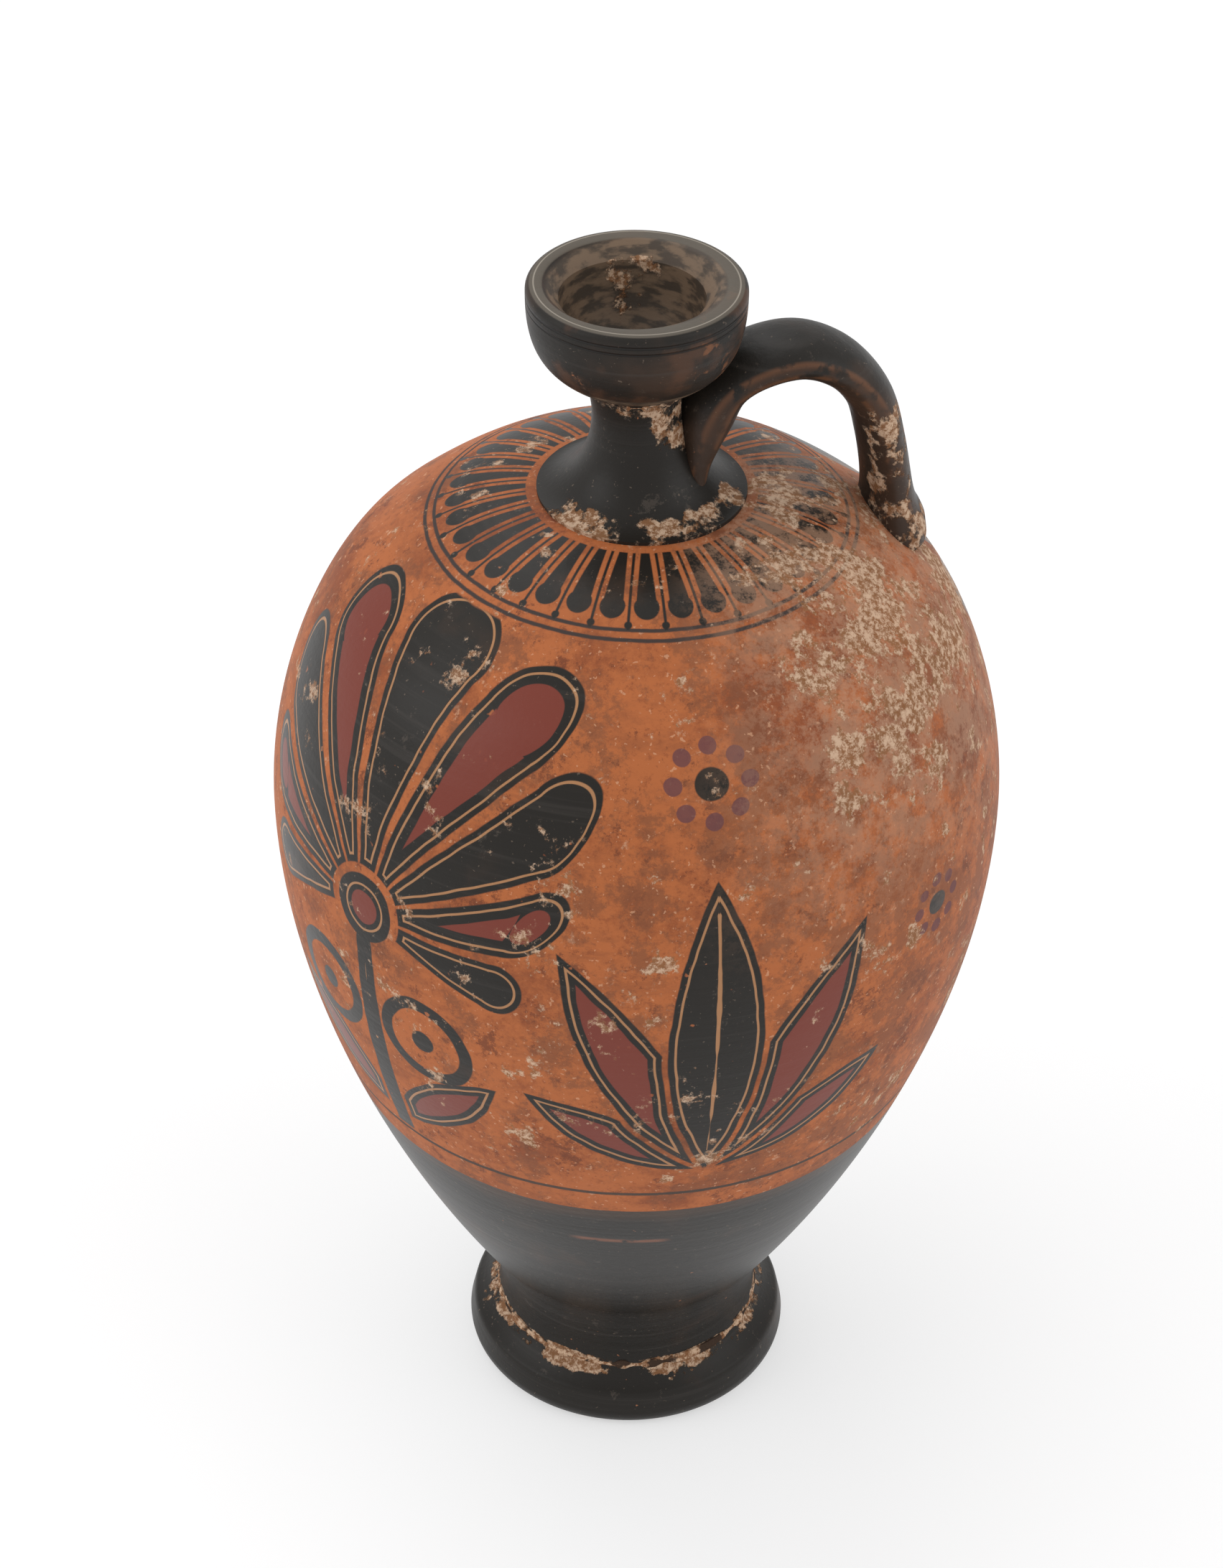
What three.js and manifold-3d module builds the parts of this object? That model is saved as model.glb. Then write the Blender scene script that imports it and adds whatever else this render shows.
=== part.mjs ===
// A round-mouthed clay jug: a cup-shaped mouth, a short flared neck, an ovoid body, a spreading foot
// on a drawn-in stem, and one strap handle from the neck to the shoulder.
// Units are millimetres and +Z is up. The origin is the middle of the face the foot rests on.
// The handle lies in the XZ plane on the +X side.

import * as THREE from 'three';
import { mergeVertices } from 'three/addons/utils/BufferGeometryUtils.js';
import Module from 'manifold-3d';

const wasm = await Module();
wasm.setup();

// Driving dimensions

// Joins
const SLIP_THICKNESS = 0.4; // film of luting clay between two thrown pieces
const SEAT_GAP = 0.3; // air between curved faces that meet

// Foot
const FOOT_HEIGHT = 33.6; // resting face to the top of the stem
const FOOT_RADIUS = 35.25; // widest ring of the plate
const FOOT_WIDEST_HEIGHT = 3.5;
const FOOT_UNDERCUT = 2.6; // how far the plate turns in below its widest ring
const PLATE_EDGE_RADIUS = 34.3; // where the side of the plate turns into its sloping top
const PLATE_EDGE_HEIGHT = 8.4;
const STEM_FOOT_RADIUS = 29.0; // where the sloping top meets the stem
const STEM_FOOT_HEIGHT = 12.8;
const STEM_FOOT_LEAN = 24; // degrees the stem leans in as it leaves the plate
const STEM_FOOT_PULL = 5.7; // length of that straight tendency
const STEM_TOP_LEAN = 41; // degrees the stem leans out as it meets the body
const STEM_TOP_PULL = 3.3;
const REST_RING_RADIUS = 27.5; // inner edge of the resting face
const FOOT_HOLLOW_RADIUS = 22.0; // hollow under the foot
const FOOT_HOLLOW_SPREAD_HEIGHT = 10.0; // height in which the hollow narrows to that radius

// Body
const BODY_HEIGHT = 189.4; // underside to the seat of the neck
const BODY_BASE_RADIUS = 33.8;
const BELLY_RADIUS = 73.5; // widest
const BELLY_HEIGHT = 119.0; // above the underside of the body
const BELLY_PULL_DOWN = 57.6; // how far the upright tendency of the belly reaches down
const BELLY_PULL_UP = 25.0; // and up
const SHOULDER_RADIUS = 56.2; // where the wall rolls over into the shoulder
const SHOULDER_DROP = 17.9; // below the seat of the neck
const SHOULDER_LEAN = 42.7; // degrees above the level there
const SHOULDER_PULL_OUT = 9.2;
const SHOULDER_PULL_IN = 20.5;
const SEAT_RADIUS = 20.6; // flat ring that carries the neck
const SEAT_LEAN = 6.0; // degrees the shoulder falls away from the seat
const SEAT_PULL = 11.7;
const BODY_WALL = 4.5;
const BODY_FLOOR = 6.0;
const FLOOR_ROUNDING = 13.5; // how far in the wall runs before the floor is level
const FLOOR_ROUNDING_RISE = 1.8; // how far it still rises a third of the way
const BODY_MOUTH_RADIUS = 10.5; // hole in the shoulder under the neck

// Neck
const NECK_HEIGHT = 23.4;
const NECK_FLARE_RADIUS = 20.3; // spread of the neck on the shoulder
const NECK_FLARE_EDGE = 0.3; // thickness of that spread at its rim
const NECK_FLARE_PULL = 2.5; // level run of the flare
const NECK_WAIST_PULL = 13.8; // upright run below the narrowest ring
const NECK_RADIUS = 8.6; // narrowest
const NECK_WAIST_HEIGHT = 18.5; // of the narrowest ring above the shoulder
const NECK_TOP_RADIUS = 9.3;
const NECK_BORE_RADIUS = 5.4;
const NECK_BORE_FLARE_HEIGHT = 9.0; // height in which the bore narrows
const MOUTH_LEAN = 1.7; // how far the mouth stands off the axis, away from the handle

// Mouth
const MOUTH_HEIGHT = 21.1;
const MOUTH_BASE_RADIUS = 9.6;
const MOUTH_BASE_PULL = 8.5; // how far the flat underside of the bowl reaches
const MOUTH_BASE_LEAN = 33; // degrees the bowl rises as it leaves the neck
const MOUTH_RADIUS = 20.8; // outer wall just under the lip
const MOUTH_WALL_PULL = 12.5; // upright run of the outer wall
const LIP_HEIGHT = 2.1; // depth of the lip's outer band
const LIP_ROUND = 1.5; // rounding of its outer edge
const LIP_WIDTH = 2.2; // flat ring on top
const BEVEL_DROP = 3.0; // from the flat ring to the bowl's inner edge
const BEVEL_WIDTH = 3.3;
const BOWL_FLOOR_HEIGHT = 3.4; // where the bowl meets the bore
const BOWL_FLOOR_PULL = 5.5;
const BOWL_FLOOR_LEAN = 25; // degrees the bowl rises as it leaves the bore
const BOWL_WALL_PULL = 7.0;
const OPENING_SHIFT = 1.0; // how far the opening sits off the middle of the lip, away from the handle

// Handle
const HANDLE_WIDTH = 17.6;
const HANDLE_THICKNESS = 9.0;
const HANDLE_RISE = 26.6; // middle of the strap at its highest, above the neck's seat on the shoulder
const HANDLE_TOP_REACH = 28.5; // and its distance from the axis
const HANDLE_ROOT_REACH = 8.4; // middle of the strap inside the neck
const HANDLE_ROOT_RISE = 2.25; // and its height above the neck's underside
const HANDLE_RISE_REACH = 9.4; // middle of the strap where it climbs the neck
const HANDLE_RISE_HEIGHT = 9.0; // above the neck's underside
const HANDLE_BEND_REACH = 16.7; // middle of the strap under the mouth
const HANDLE_BEND_DROP = 2.7; // below the highest point
const HANDLE_FALL_REACH = 37.5; // where the strap turns down
const HANDLE_FALL_DROP = 3.2;
const HANDLE_TURN_REACH = 44.2;
const HANDLE_TURN_DROP = 10.8;
const HANDLE_SIDE_REACH = 47.5; // middle of the strap on its straight side
const HANDLE_SIDE_DROP = 21.4;
const HANDLE_SHOULDER_REACH = 51.0; // middle of the strap where it enters the shoulder
const HANDLE_SHOULDER_DROP = 15.65; // its end inside the wall, below the seat of the neck
const ROOT_SPREAD = 0.9; // how far the luting clay shows around the handle's roots

// Fineness of the surfaces
const TURNS = 60; // facets around every thrown piece
const STRAP_STEPS = 28;
const STRAP_SIDES = 20;
const CURVE_STEPS = { stem: 5, lowerBody: 7, upperBody: 4, shoulder: 4, flare: 6, mouth: 6, bowl: 4 };

// Heights of the stack, from the ground up
const bodyBase = FOOT_HEIGHT + SLIP_THICKNESS;
const bodyTop = bodyBase + BODY_HEIGHT;
const neckBase = bodyTop + SLIP_THICKNESS;
const neckTop = neckBase + NECK_HEIGHT;
const mouthBase = neckTop + SLIP_THICKNESS;

const CLAY = new THREE.Color(0.56, 0.27, 0.15);
const GLOSS = new THREE.Color(0.055, 0.052, 0.05);
const SLIP = new THREE.Color(0.45, 0.24, 0.14);

function glossMaterial() {
  return new THREE.MeshStandardMaterial({ color: GLOSS, roughness: 0.35, metalness: 0 });
}

function clayMaterial() {
  return new THREE.MeshStandardMaterial({ color: CLAY, roughness: 0.7, metalness: 0 });
}

function slipMaterial() {
  return new THREE.MeshStandardMaterial({ color: SLIP, roughness: 0.9, metalness: 0 });
}

function point(radius, height) {
  return new THREE.Vector2(radius, height);
}

// A point reached from start by going length at so many degrees above the outward level.
function reach(start, length, degrees) {
  const angle = THREE.MathUtils.degToRad(degrees);
  return point(start.x + length * Math.cos(angle), start.y + length * Math.sin(angle));
}

function bezier(start, pullStart, pullEnd, end, steps) {
  return new THREE.CubicBezierCurve(start, pullStart, pullEnd, end).getPoints(steps);
}

// Moves an outline sideways by a distance; positive is away from the axis on a line that climbs.
function offsetOutline(outline, distance) {
  const moved = [];
  for (let i = 0; i < outline.length; i += 1) {
    const before = outline[Math.max(i - 1, 0)];
    const after = outline[Math.min(i + 1, outline.length - 1)];
    const along = point(after.x - before.x, after.y - before.y).normalize();
    moved.push(point(outline[i].x + distance * along.y, outline[i].y - distance * along.x));
  }
  return moved;
}

// Turns an outline of radius and height about the Z axis.
function lathe(outline) {
  const geometry = new THREE.LatheGeometry(outline, TURNS);
  geometry.rotateX(Math.PI / 2);
  return geometry;
}

// A thrown ring whose outline closes on itself.
function latheRing(outline) {
  return lathe([...outline, outline[0].clone()]);
}

// Leans a piece towards -X by shift over its height, keeping its level faces level.
function lean(geometry, shift, height) {
  geometry.applyMatrix4(new THREE.Matrix4().makeShear(0, 0, 0, 0, -shift / height, 0));
  return geometry;
}

function solidOf(geometry) {
  const plain = geometry.clone();
  plain.deleteAttribute('normal');
  plain.deleteAttribute('uv');
  const merged = mergeVertices(plain, 1e-4);
  const mesh = new wasm.Mesh({
    numProp: 3,
    vertProperties: new Float32Array(merged.attributes.position.array),
    triVerts: new Uint32Array(merged.index.array),
  });
  return new wasm.Manifold(mesh);
}

function geometryOf(solid) {
  const mesh = solid.getMesh();
  const geometry = new THREE.BufferGeometry();
  geometry.setAttribute('position', new THREE.BufferAttribute(new Float32Array(mesh.vertProperties), 3));
  geometry.setIndex(new THREE.BufferAttribute(new Uint32Array(mesh.triVerts), 1));
  geometry.computeVertexNormals();
  return geometry;
}

// The biggest of the loose pieces that a cut leaves.
function mainPiece(solid) {
  const pieces = solid.decompose();
  pieces.sort((a, b) => b.volume() - a.volume());
  return pieces[0];
}

// Outlines, each from the bottom up, in the piece's own heights

function stemOutline() {
  const start = point(STEM_FOOT_RADIUS, STEM_FOOT_HEIGHT);
  const end = point(BODY_BASE_RADIUS, FOOT_HEIGHT);
  const pullStart = reach(start, STEM_FOOT_PULL, 90 + STEM_FOOT_LEAN);
  const pullEnd = reach(end, -STEM_TOP_PULL, 90 - STEM_TOP_LEAN);
  return bezier(start, pullStart, pullEnd, end, CURVE_STEPS.stem);
}

function footOutline() {
  const outside = [
    point(FOOT_RADIUS - FOOT_UNDERCUT, 0),
    point(FOOT_RADIUS - FOOT_UNDERCUT / 3, FOOT_WIDEST_HEIGHT / 3),
    point(FOOT_RADIUS, FOOT_WIDEST_HEIGHT),
    point(PLATE_EDGE_RADIUS, PLATE_EDGE_HEIGHT),
    ...stemOutline(),
  ];
  const inside = [
    point(FOOT_HOLLOW_RADIUS, FOOT_HEIGHT),
    point(FOOT_HOLLOW_RADIUS, FOOT_HOLLOW_SPREAD_HEIGHT),
    point(REST_RING_RADIUS, 0),
  ];
  return [...outside, ...inside];
}

function bodyOutside() {
  const base = point(BODY_BASE_RADIUS, 0);
  const belly = point(BELLY_RADIUS, BELLY_HEIGHT);
  const shoulder = point(SHOULDER_RADIUS, BODY_HEIGHT - SHOULDER_DROP);
  const seat = point(SEAT_RADIUS, BODY_HEIGHT);
  const lower = bezier(base, base, reach(belly, BELLY_PULL_DOWN, -90), belly, CURVE_STEPS.lowerBody);
  const upper = bezier(
    belly,
    reach(belly, BELLY_PULL_UP, 90),
    reach(shoulder, SHOULDER_PULL_OUT, -SHOULDER_LEAN),
    shoulder,
    CURVE_STEPS.upperBody,
  );
  const top = bezier(
    shoulder,
    reach(shoulder, SHOULDER_PULL_IN, 180 - SHOULDER_LEAN),
    reach(seat, SEAT_PULL, -SEAT_LEAN),
    seat,
    CURVE_STEPS.shoulder,
  );
  return [...lower, ...upper.slice(1), ...top.slice(1)];
}

function bodyOutline() {
  const outside = bodyOutside();
  const wall = offsetOutline(outside, -BODY_WALL);
  const hollow = wall.filter((p) => p.y > BODY_FLOOR + BODY_WALL && p.x > BODY_MOUTH_RADIUS + BODY_WALL);
  hollow.reverse();
  const lowest = hollow[hollow.length - 1];
  return [
    point(0, 0),
    ...outside,
    point(BODY_MOUTH_RADIUS, BODY_HEIGHT),
    point(BODY_MOUTH_RADIUS, BODY_HEIGHT - BODY_WALL),
    ...hollow,
    point(lowest.x - FLOOR_ROUNDING / 3, BODY_FLOOR + FLOOR_ROUNDING_RISE),
    point(lowest.x - FLOOR_ROUNDING, BODY_FLOOR),
    point(0, BODY_FLOOR),
  ];
}

function neckOutside() {
  const rim = point(NECK_FLARE_RADIUS, NECK_FLARE_EDGE);
  const waist = point(NECK_RADIUS, NECK_WAIST_HEIGHT);
  const flare = bezier(
    rim,
    reach(rim, NECK_FLARE_PULL, 180),
    reach(waist, NECK_WAIST_PULL, -90),
    waist,
    CURVE_STEPS.flare,
  );
  return [point(NECK_FLARE_RADIUS, 0), ...flare, point(NECK_TOP_RADIUS, NECK_HEIGHT)];
}

function neckOutline() {
  return [
    ...neckOutside(),
    point(NECK_BORE_RADIUS, NECK_HEIGHT),
    point(NECK_BORE_RADIUS, NECK_BORE_FLARE_HEIGHT),
    point(BODY_MOUTH_RADIUS, 0),
  ];
}

function mouthOutside() {
  const base = point(MOUTH_BASE_RADIUS, 0);
  const wall = point(MOUTH_RADIUS, MOUTH_HEIGHT - LIP_HEIGHT);
  const side = bezier(
    base,
    reach(base, MOUTH_BASE_PULL, MOUTH_BASE_LEAN),
    reach(wall, MOUTH_WALL_PULL, -90),
    wall,
    CURVE_STEPS.mouth,
  );
  return [
    ...side,
    point(MOUTH_RADIUS, MOUTH_HEIGHT - LIP_ROUND),
    point(MOUTH_RADIUS - LIP_ROUND, MOUTH_HEIGHT),
  ];
}

// The space inside the mouth, from below its base to above its lip.
function mouthHollow() {
  const openingRadius = MOUTH_RADIUS - LIP_ROUND - LIP_WIDTH;
  const bowlEdge = point(openingRadius - BEVEL_WIDTH, MOUTH_HEIGHT - BEVEL_DROP);
  const bowlFloor = point(NECK_BORE_RADIUS, BOWL_FLOOR_HEIGHT);
  const bowl = bezier(
    bowlFloor,
    reach(bowlFloor, BOWL_FLOOR_PULL, BOWL_FLOOR_LEAN),
    reach(bowlEdge, BOWL_WALL_PULL, -90),
    bowlEdge,
    CURVE_STEPS.bowl,
  );
  const beyond = BEVEL_DROP;
  return [
    point(0, -beyond),
    point(NECK_BORE_RADIUS, -beyond),
    ...bowl,
    point(openingRadius, MOUTH_HEIGHT),
    point(openingRadius, MOUTH_HEIGHT + beyond),
    point(0, MOUTH_HEIGHT + beyond),
  ];
}

// A solid that fills everything inside an outline, grown by a distance.
function envelope(outline, grow) {
  const grown = offsetOutline(outline, grow);
  const bottom = grown[0].y - grow;
  const top = grown[grown.length - 1].y + grow;
  return [
    point(0, bottom),
    point(grown[0].x, bottom),
    ...grown,
    point(grown[grown.length - 1].x, top),
    point(0, top),
  ];
}

function neckEnvelope(grow) {
  const geometry = lathe(envelope(neckOutside(), grow));
  lean(geometry, MOUTH_LEAN, NECK_HEIGHT);
  geometry.translate(0, 0, neckBase);
  return solidOf(geometry);
}

function bodyEnvelope(grow) {
  const geometry = lathe(envelope(bodyOutside(), grow));
  geometry.translate(0, 0, bodyBase);
  return solidOf(geometry);
}

function mouthEnvelope(grow) {
  const geometry = lathe(envelope(mouthOutside(), grow));
  geometry.translate(-MOUTH_LEAN, 0, mouthBase);
  return solidOf(geometry);
}

function handlePath() {
  const top = neckBase + HANDLE_RISE;
  const places = [
    [HANDLE_ROOT_REACH, neckBase + HANDLE_ROOT_RISE],
    [HANDLE_RISE_REACH, neckBase + HANDLE_RISE_HEIGHT],
    [HANDLE_BEND_REACH, top - HANDLE_BEND_DROP],
    [HANDLE_TOP_REACH, top],
    [HANDLE_FALL_REACH, top - HANDLE_FALL_DROP],
    [HANDLE_TURN_REACH, top - HANDLE_TURN_DROP],
    [HANDLE_SIDE_REACH, top - HANDLE_SIDE_DROP],
    [HANDLE_SHOULDER_REACH, bodyTop - HANDLE_SHOULDER_DROP],
  ];
  return new THREE.CatmullRomCurve3(places.map(([x, z]) => new THREE.Vector3(x, 0, z)));
}

// An oval strap along the handle's path; grow widens it all round.
function strap(grow) {
  const section = new THREE.Shape();
  section.absellipse(0, 0, HANDLE_WIDTH / 2 + grow, HANDLE_THICKNESS / 2 + grow, 0, 2 * Math.PI);
  return solidOf(
    new THREE.ExtrudeGeometry(section, {
      curveSegments: STRAP_SIDES / 2,
      steps: STRAP_STEPS,
      extrudePath: handlePath(),
    }),
  );
}

function handleSolid() {
  const seat = 2 * SEAT_GAP + SLIP_THICKNESS;
  const cut = strap(0)
    .subtract(neckEnvelope(seat))
    .subtract(bodyEnvelope(seat))
    .subtract(mouthEnvelope(SEAT_GAP));
  return mainPiece(cut);
}

// Luting clay in the seam between the strap and the wall it stands on.
function rootSlip(wallEnvelope) {
  const film = wallEnvelope(SEAT_GAP + SLIP_THICKNESS).subtract(wallEnvelope(SEAT_GAP));
  return film.intersect(strap(ROOT_SPREAD));
}

function neckRootSlip() {
  const clear = rootSlip(neckEnvelope)
    .subtract(bodyEnvelope(SEAT_GAP))
    .subtract(mouthEnvelope(SEAT_GAP));
  return mainPiece(clear);
}

function shoulderRootSlip() {
  return mainPiece(rootSlip(bodyEnvelope).subtract(neckEnvelope(2 * SEAT_GAP + SLIP_THICKNESS)));
}

function mouthGeometry() {
  const hollow = lean(lathe(mouthHollow()), OPENING_SHIFT, MOUTH_HEIGHT);
  const outside = lathe([point(0, 0), ...mouthOutside(), point(0, MOUTH_HEIGHT)]);
  return geometryOf(solidOf(outside).subtract(solidOf(hollow)));
}

// A flat ring of luting clay as wide as the seam it fills.
function slipRing(innerRadius, outerRadius) {
  return latheRing([
    point(innerRadius, 0),
    point(outerRadius, 0),
    point(outerRadius, SLIP_THICKNESS),
    point(innerRadius, SLIP_THICKNESS),
  ]);
}

function piece(name, geometry, material, x, z) {
  const mesh = new THREE.Mesh(geometry, material);
  mesh.name = name;
  mesh.position.set(x, 0, z);
  return mesh;
}

function thrownPieces() {
  const neck = lean(latheRing(neckOutline()), MOUTH_LEAN, NECK_HEIGHT);
  return [
    piece('foot', latheRing(footOutline()), glossMaterial(), 0, 0),
    piece('body', lathe(bodyOutline()), clayMaterial(), 0, bodyBase),
    piece('neck', neck, glossMaterial(), 0, neckBase),
    piece('mouth_cup', mouthGeometry(), glossMaterial(), -MOUTH_LEAN, mouthBase),
  ];
}

function seamRings() {
  const footSeam = slipRing(FOOT_HOLLOW_RADIUS, BODY_BASE_RADIUS);
  const neckSeam = slipRing(BODY_MOUTH_RADIUS, NECK_FLARE_RADIUS);
  const mouthSeam = slipRing(NECK_BORE_RADIUS, NECK_TOP_RADIUS);
  return [
    piece('foot_seam_slip', footSeam, slipMaterial(), 0, FOOT_HEIGHT),
    piece('neck_seam_slip', neckSeam, slipMaterial(), 0, bodyTop),
    piece('mouth_seam_slip', mouthSeam, slipMaterial(), -MOUTH_LEAN, neckTop),
  ];
}

function handlePieces() {
  return [
    piece('handle', geometryOf(handleSolid()), glossMaterial(), 0, 0),
    piece('handle_neck_slip', geometryOf(neckRootSlip()), slipMaterial(), 0, 0),
    piece('handle_shoulder_slip', geometryOf(shoulderRootSlip()), slipMaterial(), 0, 0),
  ];
}

const jug = new THREE.Group();
jug.add(...thrownPieces(), ...seamRings(), ...handlePieces());

export default jug;
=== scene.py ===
"""A black-glossed clay jug with a painted picture zone, on a white studio floor.

Sizes of the jug are millimetres and become metres through MM. The camera's and the studio's are metres.
Azimuths are degrees about Z from +X, where the handle is. The painted ornament is two palmettes, two
lotus flowers and dot rosettes, all drawn by shader formulas.
"""

import math

import bmesh
import bpy
import numpy as np
from mathutils import Matrix, Vector


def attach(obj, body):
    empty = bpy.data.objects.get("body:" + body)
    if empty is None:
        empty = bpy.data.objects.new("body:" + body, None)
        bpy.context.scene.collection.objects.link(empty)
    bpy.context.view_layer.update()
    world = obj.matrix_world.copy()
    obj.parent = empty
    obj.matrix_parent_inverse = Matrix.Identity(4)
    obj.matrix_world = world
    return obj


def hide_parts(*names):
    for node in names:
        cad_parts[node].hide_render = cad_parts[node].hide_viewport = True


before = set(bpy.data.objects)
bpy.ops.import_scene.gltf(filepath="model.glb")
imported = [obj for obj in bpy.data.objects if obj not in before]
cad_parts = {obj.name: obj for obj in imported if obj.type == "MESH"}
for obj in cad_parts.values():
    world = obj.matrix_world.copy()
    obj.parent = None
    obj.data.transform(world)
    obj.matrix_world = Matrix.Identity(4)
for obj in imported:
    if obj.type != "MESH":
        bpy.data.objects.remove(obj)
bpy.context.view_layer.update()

MM = 0.001

# Stack of the jug, from the ground up
SLIP = 0.4
FOOT_HEIGHT = 33.6
BODY_BASE = FOOT_HEIGHT + SLIP
BODY_HEIGHT = 189.4
BODY_TOP = BODY_BASE + BODY_HEIGHT
NECK_BASE = BODY_TOP + SLIP
NECK_HEIGHT = 23.4
NECK_TOP = NECK_BASE + NECK_HEIGHT
MOUTH_BASE = NECK_TOP + SLIP
MOUTH_HEIGHT = 21.1
MOUTH_TOP = MOUTH_BASE + MOUTH_HEIGHT
MOUTH_LEAN = 1.7
OPENING_SHIFT = 1.0

# Foot; the side and the edge of its plate are Bezier curves, each given by four radii and heights
FOOT_SIDE = ((32.65, 0.0), (34.6, 0.9), (35.25, 2.2), (35.2, 4.2))
FOOT_EDGE = ((34.45, 7.6), (34.3, 8.5), (34.0, 8.9), (33.2, 9.3))
STEM_FOOT_RADIUS = 29.0
STEM_FOOT_HEIGHT = 12.8
STEM_FOOT_LEAN = 24
STEM_FOOT_PULL = 5.7
STEM_TOP_LEAN = 41
STEM_TOP_PULL = 3.3
REST_RING_RADIUS = 27.5
FOOT_HOLLOW_RADIUS = 22.0
FOOT_HOLLOW_SPREAD_HEIGHT = 10.0

# Body
BODY_BASE_RADIUS = 33.8
BELLY_RADIUS = 73.5
BELLY_HEIGHT = 119.0
BELLY_PULL_DOWN = 57.6
BELLY_PULL_UP = 25.0
SHOULDER_RADIUS = 56.2
SHOULDER_DROP = 17.9
SHOULDER_LEAN = 42.7
SHOULDER_PULL_OUT = 9.2
SHOULDER_PULL_IN = 20.5
SEAT_RADIUS = 20.6
SEAT_LEAN = 6.0
SEAT_PULL = 11.7
BODY_WALL = 4.5
BODY_FLOOR = 6.0
BODY_MOUTH_RADIUS = 10.5
FLOOR_ROUNDING = 13.5
FLOOR_ROUNDING_RISE = 1.8
INNER_WALL_STRIDE = 5

# Neck
NECK_FLARE_RADIUS = 20.3
NECK_FLARE_EDGE = 0.3
NECK_FLARE_PULL = 2.5
NECK_WAIST_PULL = 13.8
NECK_RADIUS = 8.6
NECK_WAIST_HEIGHT = 18.5
NECK_SPREAD_RADIUS = 8.8
NECK_SPREAD_HEIGHT = 21.0
NECK_TOP_RADIUS = 9.3
NECK_BORE_RADIUS = 5.4
NECK_BORE_FLARE_HEIGHT = 9.0

# Mouth; the middle of the cup's wall is given at three heights, from its base to its lip
MOUTH_SEAM_RADIUS = 9.4
MOUTH_JOINT_RADIUS = 9.5
MOUTH_BASE_RADIUS = 9.6
MOUTH_BASE_PULL = 8.5
MOUTH_BASE_LEAN = 33
MOUTH_RADIUS = 20.8
MOUTH_WALL_PULL = 12.5
LIP_HEIGHT = 2.1
LIP_ROUND = 1.5
LIP_ROUND_PULL = 0.9
LIP_OUTER_RADIUS = MOUTH_RADIUS - LIP_ROUND
LIP_WIDTH = 2.2
LIP_INNER_RADIUS = LIP_OUTER_RADIUS - LIP_WIDTH
LIP_INNER_ROUND = (0.5, 0.2)
BEVEL_DROP = 3.0
BEVEL_WIDTH = 3.3
BOWL_RADIUS = LIP_INNER_RADIUS - BEVEL_WIDTH
BOWL_FLOOR_HEIGHT = 3.4
BOWL_FLOOR_PULL = 5.5
BOWL_FLOOR_LEAN = 25
BOWL_WALL_PULL = 7.0
CUP_HEIGHTS = (0.0, MOUTH_HEIGHT - LIP_HEIGHT, MOUTH_HEIGHT)
CUP_WALL_MIDDLES = (7.0, 17.5, 18.2)

# Handle; the strap's middle from neck to shoulder, as reach from the axis and height above NECK_BASE
HANDLE_MIDDLES = (
    (8.6, 1.1),
    (9.6, 9.0),
    (15.9, 22.4),
    (28.5, 26.6),
    (37.5, 23.4),
    (44.2, 15.8),
    (47.5, 5.2),
    (51.0, -16.05),
)
HANDLE_WIDTH = 17.6
HANDLE_THICKNESS = 9.0

# Fineness of the meshes
BODY_TURNS = 288
FOOT_TURNS = 256
NECK_TURNS = 160
MOUTH_TURNS = 224
HANDLE_SIDES = 48
HANDLE_STEPS = 14
CRUST_TURNS = 220
CRUST_SIDES = 10
SHARP_DEGREES = 32
MERGE_DISTANCE = 1e-6

# Painted zones, as heights above the ground and as radii on the shoulder
GLOSS_TOP = 90.1
GROUND_LINE = 97.2
GROUND_LINE_WIDTH = 1.0
SHOULDER_ZONE = 157.2
NECK_LINE_RADIUS = 22.4
TONGUE_END_RADIUS = 38.0
TONGUE_TIP = 2.4
TONGUES = 35
TONGUE_HALF_GAP = 1.2
SPOKE_HALF_WIDTH = 0.28
SPOKE_DOT_RADIUS = 0.75
FIRST_CIRCLE = 40.0
SECOND_CIRCLE = 41.8
CIRCLE_HALF_WIDTH = 0.35

# Azimuths of the ornament; each part of it is painted again on the opposite side
PALMETTE_AZIMUTH = -150.0
LOTUS_AZIMUTH = -92.0
ROSETTE_AZIMUTH = -51.9

# Middles of the places that wear and deposit spread from
VEIL_AZIMUTH = -34.0
DEPOSIT_AZIMUTH = -28.0
CUP_WEAR_AZIMUTH = -40.0
NECK_FRONT_AZIMUTH = -95.0
NECK_RIGHT_AZIMUTH = -60.0

# Ring pressed into the gloss of the lower wall
MARK_AZIMUTH = -92.0
MARK_HEIGHT = 65.6
MARK_RADIUS = 1.6
MARK_HALF_LINE = 0.25

# Ornament, whose heights are measured up the wall from the ground line
PALMETTE_HEART = 64.0
HEART_RADIUS = 7.5
HEART_RING = 5.0
PETAL_START = 9.5
PETAL_SPREAD = math.radians(25)
PETAL_FILL = 0.84
LOWEST_PETAL = math.radians(112.5)
SIDE_PETAL_LENGTH = 37.0
TOP_PETAL_GAIN = 31.0
STEM_HALF_WIDTH = 2.2
STEM_START = 1.0
STEM_END = PALMETTE_HEART - 7.0
CURL_CLIMB = 37.0
CURL_RADIUS = 9.5
CURL_REACH = 1.45
CURL_EYE = 0.28
CURL_HALF_LINE = 1.5
LOTUS_BASE = 9.0
STAND_LEAF_BASE = 6.0
ROSETTE_CLIMB = 62.0
HIGH_ROSETTE_CLIMB = 104.0
ROSETTE_CORE = 2.5
ROSETTE_RING = 5.6
ROSETTE_DOT = 1.35
PAINT_GAP = 1.1
PETAL_LINE_INSET = 1.5
LEAF_LINE_INSET = 1.4
PETAL_RED_INSET = 3.6
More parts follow.
